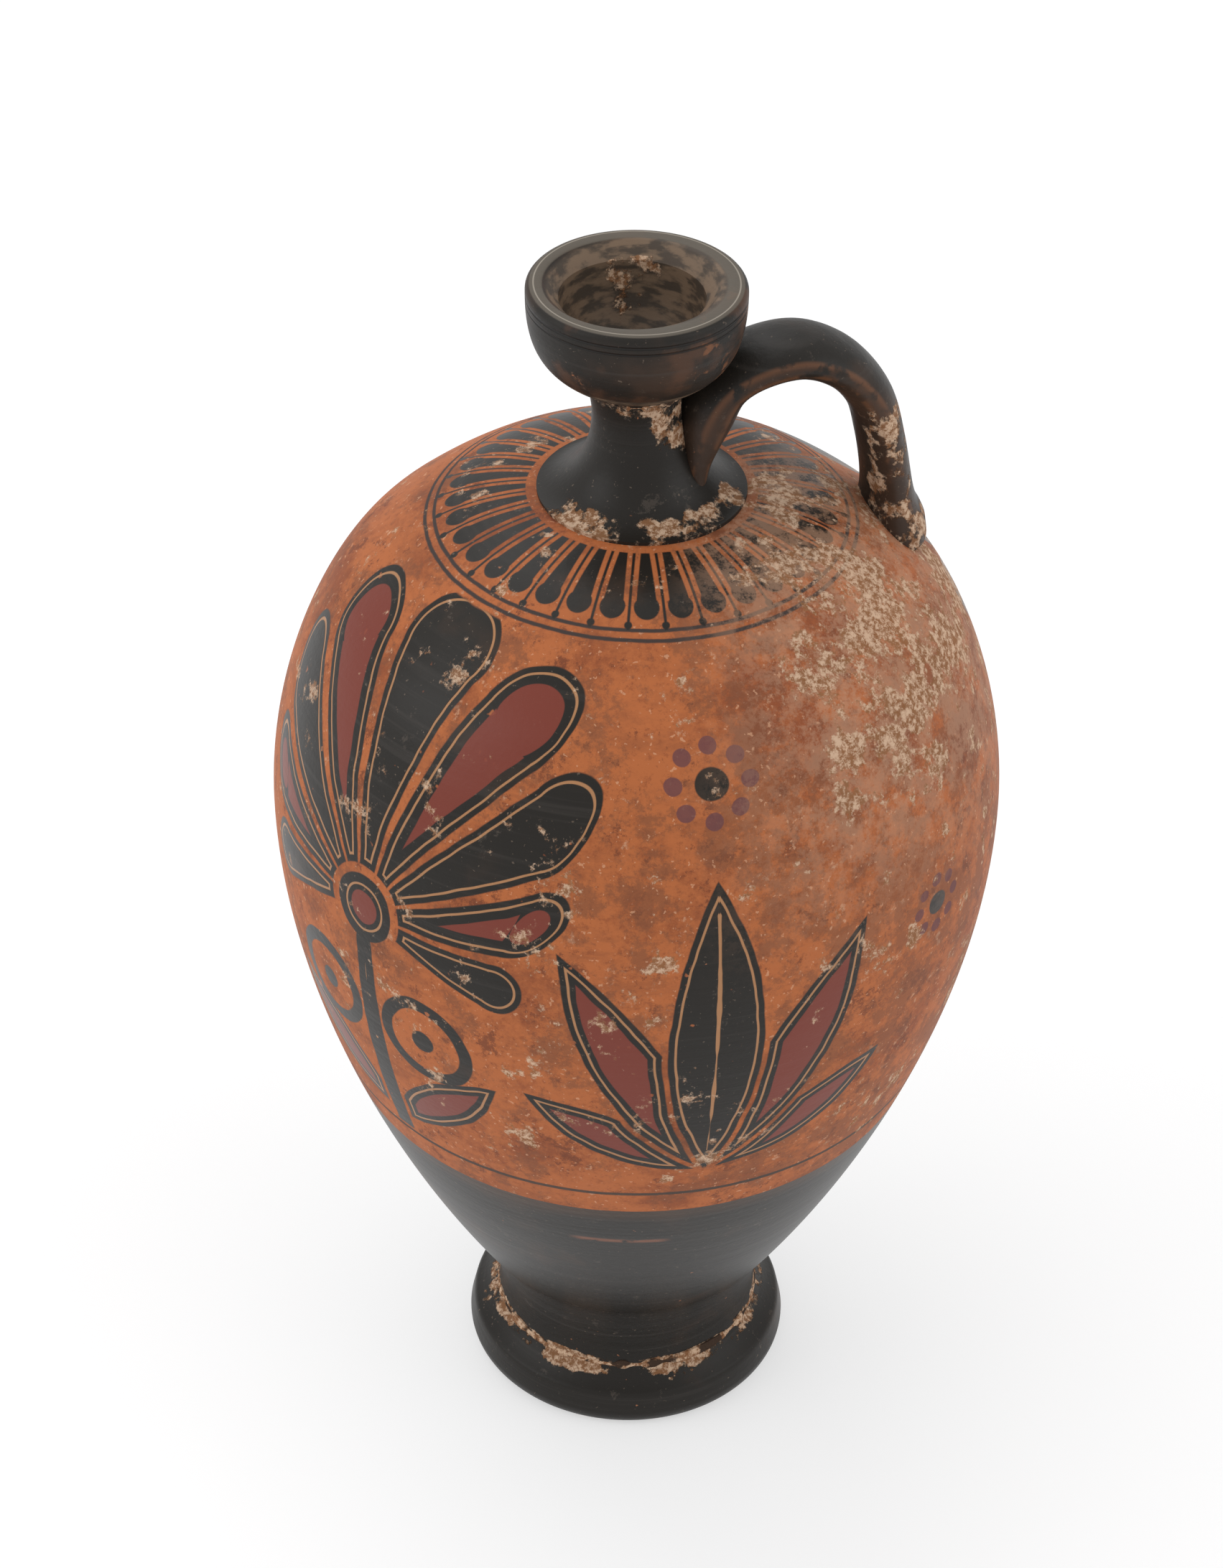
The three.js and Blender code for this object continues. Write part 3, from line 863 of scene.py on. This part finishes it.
def tongue_mask(surface, ring_radius):
    """Black tongues from the neck outwards, parted by two clay strips with a dark spoke between."""
    spacing = 360 / TONGUES
    turn = op("PINGPONG", surface.azimuth + 360.0, spacing / 2)
    across = turn * math.radians(1) * surface.radius
    half_spacing = surface.radius * math.radians(spacing / 2)
    tip_start = TONGUE_END_RADIUS - TONGUE_TIP
    body = most(across - (half_spacing - TONGUE_HALF_GAP), ring_radius - tip_start)
    tip = length(across, ring_radius - tip_start) - TONGUE_TIP
    from_neck = NECK_LINE_RADIUS - ring_radius
    tongue = most(least(body, tip), from_neck)
    spoke = most(half_spacing - across - SPOKE_HALF_WIDTH, ring_radius - FIRST_CIRCLE, from_neck)
    dot = length(half_spacing - across, ring_radius - (FIRST_CIRCLE - 0.9)) - SPOKE_DOT_RADIUS
    return inside(least(tongue, spoke, dot), soft=0.15)


def right_shoulder_deposit(surface):
    """Pale deposit near the handle on the upper right shoulder, thinning down the right side."""
    beside = surface.around(DEPOSIT_AZIMUTH, outer=74.0, inner=26.0)
    high = ramp(surface.z, 158.0, 202.0)
    streaks = surface.patches(6, 0.46, 0.66, detail=4.0, stretch=(1, 1, 0.15))
    low = ramp(surface.z, 40.0, 80.0) * ramp(surface.z, 160.0, 110.0) * streaks * 0.66
    thin = 0.50 * ramp(surface.z, 96.0, 104.0)
    above_gloss = 0.35 + 0.65 * ramp(surface.z, 88.0, 98.0)
    return most(beside * most(high * 0.96, low, 0.68), thin) * above_gloss


def gloss_material(name, wear, crusts):
    """Black gloss with deposits; crusts(surface) gives the deposit's mask."""
    surface = Surface(name)
    mask = crusts(surface)
    colour, crust = crust_over(surface, gloss_colour(surface, wear), mask)
    roughness = 0.34 + surface.noise(6, detail=3.0) * 0.12 + crust * mask * 0.4
    relief = wheel_lines(surface, size=1.6) * 0.5 + surface.noise(1.1, detail=3.0) * 0.3
    relief = relief + crust * mask * 1.2
    return surface.finish(colour, roughness, relief, depth=0.14)


def foot_crust(surface):
    """Deposit in the angle under the stem, in patches on the plate and where the foot rests."""
    ring = band(surface.z, STEM_FOOT_HEIGHT - 1.8, STEM_FOOT_HEIGHT + 1.8, soft=0.8)
    patches = ramp(surface.z, 7.5, 12.0) * ramp(surface.z, 14.0, 12.5)
    patches = patches * surface.patches(9, 0.5, 0.62)
    rest = ramp(surface.z, 0.9, 0.3) * 0.9
    return most(ring, patches, rest)


def neck_crust(surface):
    """Deposit on the front of the flare, at the mouth's joint and on the right of the upper neck."""
    flare = ramp(surface.radius, 14.0, 16.5) * surface.around(NECK_FRONT_AZIMUTH, outer=95.0, inner=60.0)
    joint = ramp(surface.z, NECK_TOP - 4.2, NECK_TOP - 1.2)
    right = surface.around(NECK_RIGHT_AZIMUTH, outer=44.0, inner=22.0)
    right = right * ramp(surface.z, NECK_TOP - 16, NECK_TOP - 9)
    return most(flare, joint, right)


def handle_crust(surface):
    """Deposit on the front of the strap's outer half, and at its root on the shoulder."""
    patches = surface.patches(12, 0.38, 0.50) * ramp(surface.z, 244.0, 236.0)
    patches = patches * ramp(surface.x, 30.0, 38.0)
    root = ramp(surface.z, 219.0, 212.0)
    front = ramp(surface.y, 2.0, -6.0)
    return most(patches * front * 0.9, root * 0.9)


def cup_colour(surface):
    """Gloss worn to brown and to clay, more so on the right."""
    right = surface.around(CUP_WEAR_AZIMUTH, outer=75.0, inner=25.0)
    worn = ramp(surface.noise(13, detail=5.0) + right * 0.10, 0.53, 0.66)
    colour = surface.mix(worn * 0.7, gloss_colour(surface, wear=0.12), CUP_BROWN)
    bare = ramp(surface.noise(5, detail=5.0) + right * 0.07, 0.66, 0.72)
    return surface.mix(bare * 0.6, colour, CUP_CLAY)


def lip_colour(surface, colour, away):
    """Adds the tan hollow of the bowl, the grey flat ring of the lip and a painted highlight along its
    rounded outer edge.
    """
    hollow = ramp(away, LIP_INNER_RADIUS + 0.2, LIP_INNER_RADIUS - 0.7)
    hollow = hollow * ramp(surface.z, MOUTH_BASE + 2.0, MOUTH_BASE + 4.0)
    clouds = surface.patches(5, 0.42, 0.60, detail=6.0, stretch=(1, 1, 3))
    colour = surface.mix(hollow * 0.9, colour, surface.mix(clouds, BOWL_DARK, BOWL_TAN))
    flat = ramp(surface.z, MOUTH_TOP - 0.25, MOUTH_TOP - 0.1)
    flat = flat * ramp(away, LIP_INNER_RADIUS - 0.7, LIP_INNER_RADIUS + 0.1)
    colour = surface.mix(flat * 0.85, colour, LIP_GREY)
    # Painted highlight: a pale band along the top of the lip's rounded outer edge.
    edge = band(away, LIP_OUTER_RADIUS - 0.2, LIP_OUTER_RADIUS + 0.05, soft=0.1)
    edge = edge * ramp(surface.z, MOUTH_TOP - 0.7, MOUTH_TOP - 0.3)
    return surface.mix(edge * 0.5, colour, LIP_EDGE_HIGHLIGHT)


def cup_grooves(surface, away):
    """Two thin grooves round the outside of the cup, under the lip."""
    upper = band(surface.z, MOUTH_TOP - 2.35, MOUTH_TOP - 1.85)
    lower = band(surface.z, MOUTH_TOP - 3.7, MOUTH_TOP - 3.3)
    return most(upper, lower) * ramp(away, LIP_OUTER_RADIUS + 0.5, LIP_OUTER_RADIUS + 0.9)


def cup_crust(surface, away):
    """Deposit in the bowl, on its front and back, and on the joint with the neck."""
    bowl = ramp(away, BOWL_RADIUS + 0.8, BOWL_RADIUS + 0.2)
    bowl = bowl * ramp(surface.z, MOUTH_BASE + 2.0, MOUTH_BASE + 6.0)
    streak = band(surface.azimuth, -125.0, -98.0, soft=6.0)
    back = band(surface.azimuth, 60.0, 110.0, soft=10.0)
    joint = ramp(surface.z, MOUTH_BASE + 1.6, MOUTH_BASE + 0.4)
    joint = joint * ramp(away, MOUTH_BASE_RADIUS - 1.6, MOUTH_BASE_RADIUS - 0.6)
    return most(bowl * most(streak, back) * 0.8, joint * 0.9)


def mouth_material():
    surface = Surface("worn_cup")
    away = length(surface.x + MOUTH_LEAN, surface.y)
    colour = lip_colour(surface, cup_colour(surface), away)
    grooves = cup_grooves(surface, away)
    colour = surface.mix(grooves * 0.85, colour, GROOVE_BLACK)
    mask = cup_crust(surface, away)
    colour, crust = crust_over(surface, colour, mask)
    roughness = 0.42 + surface.noise(5, detail=3.0) * 0.14 + crust * mask * 0.3
    relief = wheel_lines(surface, size=1.3) * 0.5 + surface.noise(1.1, detail=3.0) * 0.3
    relief = relief - grooves * 1.5 + crust * mask
    return surface.finish(colour, roughness, relief, depth=0.16)


def handle_material():
    surface = Surface("worn_handle")
    edge = band(surface.y, -8.7, -8.1, soft=0.3) * surface.patches(5, 0.42, 0.54, detail=4.0)
    colour = surface.mix(edge * 0.45, gloss_colour(surface, wear=0.07), HANDLE_CLAY)
    lower = ramp(surface.y, -3.0, -8.0) * ramp(surface.z, 246.0, 238.0)
    colour = surface.mix(lower * 0.4, colour, HANDLE_BROWN)
    mask = handle_crust(surface)
    colour, crust = crust_over(surface, colour, mask)
    roughness = 0.36 + surface.noise(5, detail=3.0) * 0.14 + crust * mask * 0.35
    relief = surface.noise(2.2, detail=4.0) * 0.7 + crust * mask * 1.1
    return surface.finish(colour, roughness, relief, depth=0.18)


def crust_material():
    surface = Surface("tan_crust")
    grain = surface.patches(1.6, 0.44, 0.58, detail=6.0, roughness=0.8)
    dark = surface.patches(4.0, 0.50, 0.58, detail=5.0)
    colour = surface.mix(dark, surface.mix(grain, CRUST_BROWN, CRUST), BROWN_BLACK)
    return surface.finish(colour, 0.9, surface.noise(0.9, detail=4.0), depth=0.4)


# Pieces

def add_climb(mesh, outside):
    """Stores at each vertex how far up the wall it is from the ground line, in millimetres."""
    line = np.array(outside)
    steps = np.linalg.norm(np.diff(line, axis=0), axis=1)
    lengths = np.concatenate([[0], np.cumsum(steps)])
    lengths -= np.interp(GROUND_LINE, line[:, 1], lengths)
    heights = np.array([v.co.z for v in mesh.vertices]) / MM
    layer = mesh.attributes.new("climb", "FLOAT", "POINT")
    layer.data.foreach_set("value", np.interp(heights, line[:, 1], lengths).astype(np.float32))


def make_body():
    mesh = thrown("jug_body", body_outline(), BODY_TURNS, no_lean)
    made = finish_mesh("jug_body", mesh, body_material(), ["body"])
    add_climb(made.data, body_outside())


def make_foot():
    mesh = thrown("jug_foot", foot_outline(), FOOT_TURNS, no_lean)
    material = gloss_material("gloss_foot", wear=0.0, crusts=foot_crust)
    finish_mesh("jug_foot", mesh, material, ["foot", "foot_seam_slip"])


def make_neck():
    mesh = thrown("jug_neck", neck_outline(), NECK_TURNS, neck_lean)
    material = gloss_material("gloss_neck", wear=0.04, crusts=neck_crust)
    finish_mesh("jug_neck", mesh, material, ["neck", "neck_seam_slip"])


def make_mouth_cup():
    mesh = thrown("jug_mouth_cup", mouth_outline(), MOUTH_TURNS, mouth_lean)
    nodes = ["mouth_cup", "mouth_seam_slip"]
    finish_mesh("jug_mouth_cup", mesh, mouth_material(), nodes)


def blend(knots, low, high, t, start, end):
    """The point between start and end that t gives, where t runs between two of the knots."""
    return ((knots[high] - t) * start + (t - knots[low]) * end) / (knots[high] - knots[low])


def handle_path(steps):
    """Centripetal Catmull-Rom curve through the strap's middles, as (x, z)."""
    points = np.array(HANDLE_MIDDLES) + (0, NECK_BASE)
    ends = np.vstack([2 * points[0] - points[1], points, 2 * points[-1] - points[-2]])
    path = []
    for p0, p1, p2, p3 in zip(ends, ends[1:], ends[2:], ends[3:]):
        knots = np.cumsum([0] + [np.linalg.norm(b - a) ** 0.5 for a, b in ((p0, p1), (p1, p2), (p2, p3))])
        t = np.linspace(knots[1], knots[2], steps, endpoint=False)[:, None]
        first = blend(knots, 0, 1, t, p0, p1)
        second = blend(knots, 1, 2, t, p1, p2)
        third = blend(knots, 2, 3, t, p2, p3)
        before = blend(knots, 0, 2, t, first, second)
        after = blend(knots, 1, 3, t, second, third)
        path.append(blend(knots, 1, 2, t, before, after))
    return np.vstack(path + [points[-1:]])


def fading(distance, start, fade):
    """1 up to start, and dying away beyond it."""
    return np.exp(-np.maximum(distance - start, 0) / fade)


def strap_section(path):
    """Half the strap's width and half its thickness: fuller at the shoulder, thinner at the neck."""
    run = np.concatenate([[0], np.cumsum(np.linalg.norm(np.diff(path, axis=0), axis=1))])
    left = run[-1] - run
    half_width = HANDLE_WIDTH / 2 + 2.4 * fading(left, start=4, fade=3.5)
    half_width += 1.2 * fading(run, start=0, fade=5)
    half_depth = HANDLE_THICKNESS / 2 + 2.0 * fading(left, start=4, fade=3.0)
    half_depth -= 2.2 * fading(run, start=0, fade=7)
    swelling = 1.3 * np.exp(-(((run - 16) / 6) ** 2))
    return half_width, half_depth + swelling


def make_handle():
    path = handle_path(HANDLE_STEPS)
    half_width, half_depth = strap_section(path)
    along = np.gradient(path, axis=0)
    along /= np.linalg.norm(along, axis=1)[:, None]
    angle = np.linspace(0, 2 * math.pi, HANDLE_SIDES, endpoint=False)
    normal = np.stack([along[:, 1], -along[:, 0]], 1)
    depth = half_depth[:, None] * np.cos(angle)
    x = path[:, :1] + normal[:, :1] * depth
    z = path[:, 1:] + normal[:, 1:] * depth
    y = half_width[:, None] * np.sin(angle)
    rings = np.stack([x, y, z], -1)
    ends = [np.repeat(rings[i].mean(0)[None, None], HANDLE_SIDES, 1) for i in (0, -1)]
    mesh = grid_mesh("jug_handle", np.vstack([ends[0], rings, ends[1]]))
    nodes = ["handle", "handle_neck_slip", "handle_shoulder_slip"]
    finish_mesh("jug_handle", mesh, handle_material(), nodes)


def lumps_around(angle, seed):
    """Random lumps along a ring, from 0.45 to 1, as a sum of waves that are weaker as they get finer."""
    generator = np.random.default_rng(seed)
    lumps = np.full(len(angle), 0.55)
    for wave in range(2, 40):
        strength = generator.normal(0, 0.28) / wave**0.45
        lumps += strength * np.cos(wave * angle + generator.uniform(0, 6.28))
    return np.clip(lumps, 0.45, 1.0)


def crust_ring(name, radius, height, shift, thickness, seed):
    """A lumpy ring of deposit; thickness is its greatest half height."""
    angle = np.linspace(0, 2 * math.pi, CRUST_TURNS, endpoint=False)
    size = thickness * lumps_around(angle, seed)
    round_angle = np.linspace(0, 2 * math.pi, CRUST_SIDES, endpoint=False)
    out = radius - 0.35 * thickness + size[:, None] * np.cos(round_angle) * 0.6
    up = height + size[:, None] * np.sin(round_angle)
    places = np.stack([out * np.cos(angle)[:, None] - shift, out * np.sin(angle)[:, None], up], -1)
    finish_mesh(name, grid_mesh(name, places), crust_material(), [])


def make_crust_rings():
    mouth_joint = NECK_TOP + SLIP / 2
    foot_joint = STEM_FOOT_HEIGHT - 0.1
    crust_ring("crust_at_mouth_joint", MOUTH_JOINT_RADIUS, mouth_joint, MOUTH_LEAN, thickness=1.25, seed=3)
    crust_ring("crust_at_foot_joint", STEM_FOOT_RADIUS + 0.2, foot_joint, 0.0, thickness=1.5, seed=8)


# Studio

def camera_turn():
    """The camera's axes: right, up and backwards, as the columns of a matrix."""
    forward = Vector((math.sin(YAW) * math.cos(PITCH), math.cos(YAW) * math.cos(PITCH), -math.sin(PITCH)))
    right = forward.cross(Vector((0, 0, 1))).normalized()
    up = right.cross(forward)
    rolled_right = math.cos(ROLL) * right + math.sin(ROLL) * up
    rolled_up = -math.sin(ROLL) * right + math.cos(ROLL) * up
    return Matrix((rolled_right, rolled_up, -forward)).transposed()


def add_camera():
    data = bpy.data.cameras.new("photo_camera")
    data.sensor_width = SENSOR
    data.lens = SENSOR * FOCAL_PIXELS / LONG_SIDE_PIXELS
    data.clip_start = CLIP_START
    camera = bpy.data.objects.new("photo_camera", data)
    turn = Matrix.Rotation(FRAME_TURN, 3, "Z")
    place = Matrix.Translation(turn @ Vector(EYE))
    camera.matrix_world = place @ (turn @ camera_turn()).to_4x4()
    bpy.context.scene.collection.objects.link(camera)
    bpy.context.scene.camera = camera


def add_area_light(name, azimuth, elevation, distance, size, power):
    data = bpy.data.lights.new(name, "AREA")
    data.size = size
    data.energy = power
    lamp = bpy.data.objects.new(name, data)
    a, e = math.radians(azimuth), math.radians(elevation)
    out = Vector((math.cos(a) * math.cos(e), math.sin(a) * math.cos(e), math.sin(e)))
    lamp.location = out * distance + Vector((0, 0, AIM_HEIGHT))
    lamp.rotation_mode = "QUATERNION"
    lamp.rotation_quaternion = out.to_track_quat("Z", "Y")
    bpy.context.scene.collection.objects.link(lamp)


def add_world():
    """A white sky, a little weaker as a light than as the backdrop."""
    world = bpy.data.worlds.new("studio")
    world.use_nodes = True
    bpy.context.scene.world = world
    tree = world.node_tree
    background = tree.nodes["Background"]
    background.inputs["Color"].default_value = (1, 1, 1, 1)
    path = tree.nodes.new("ShaderNodeLightPath")
    strength = math_node(tree, "MAXIMUM", Field(tree, path.outputs["Is Camera Ray"]), SKY_STRENGTH)
    tree.links.new(strength.socket, background.inputs["Strength"])


def floor_glow_share(tree):
    """How much of the floor is seen as glowing white: half of it near the jug, and all far away."""
    path = tree.nodes.new("ShaderNodeLightPath")
    seen = most(Field(tree, path.outputs["Is Camera Ray"]), Field(tree, path.outputs["Is Glossy Ray"]))
    place = tree.nodes.new("ShaderNodeTexCoord")
    split = tree.nodes.new("ShaderNodeSeparateXYZ")
    tree.links.new(place.outputs["Object"], split.inputs[0])
    away = length(Field(tree, split.outputs[0]), Field(tree, split.outputs[1]))
    share = (1 - SHADOW_SHARE) + SHADOW_SHARE * ramp(away, SHADOW_END, PLAIN_FLOOR_START)
    return seen * share


def floor_material():
    material = bpy.data.materials.new("white_floor")
    material.use_nodes = True
    tree = material.node_tree
    shader = tree.nodes["Principled BSDF"]
    shader.inputs["Base Color"].default_value = FLOOR_COLOUR
    shader.inputs["Roughness"].default_value = 0.9
    shader.inputs["Specular IOR Level"].default_value = 0.1
    glow = tree.nodes.new("ShaderNodeEmission")
    blend_shader = tree.nodes.new("ShaderNodeMixShader")
    join(tree, floor_glow_share(tree), blend_shader.inputs["Fac"])
    tree.links.new(shader.outputs[0], blend_shader.inputs[1])
    tree.links.new(glow.outputs[0], blend_shader.inputs[2])
    tree.links.new(blend_shader.outputs[0], tree.nodes["Material Output"].inputs["Surface"])
    return material


def add_floor():
    half = FLOOR_HALF_SIZE
    corners = [(-half, -half, 0), (half, -half, 0), (half, half, 0), (-half, half, 0)]
    mesh = bpy.data.meshes.new("studio_floor")
    mesh.from_pydata(corners, [], [(0, 1, 2, 3)])
    mesh.materials.append(floor_material())
    floor = bpy.data.objects.new("studio_floor", mesh)
    bpy.context.scene.collection.objects.link(floor)


make_body()
make_foot()
make_neck()
make_mouth_cup()
make_handle()
make_crust_rings()
add_floor()
add_world()
add_area_light("key_light", azimuth=105, elevation=62, distance=1.5, size=1.2, power=6)
add_area_light("left_light", azimuth=-178, elevation=30, distance=1.5, size=1.0, power=5)
add_area_light("right_light", azimuth=-32, elevation=32, distance=1.6, size=1.0, power=4)
add_camera()
bpy.context.scene.view_settings.view_transform = "Standard"
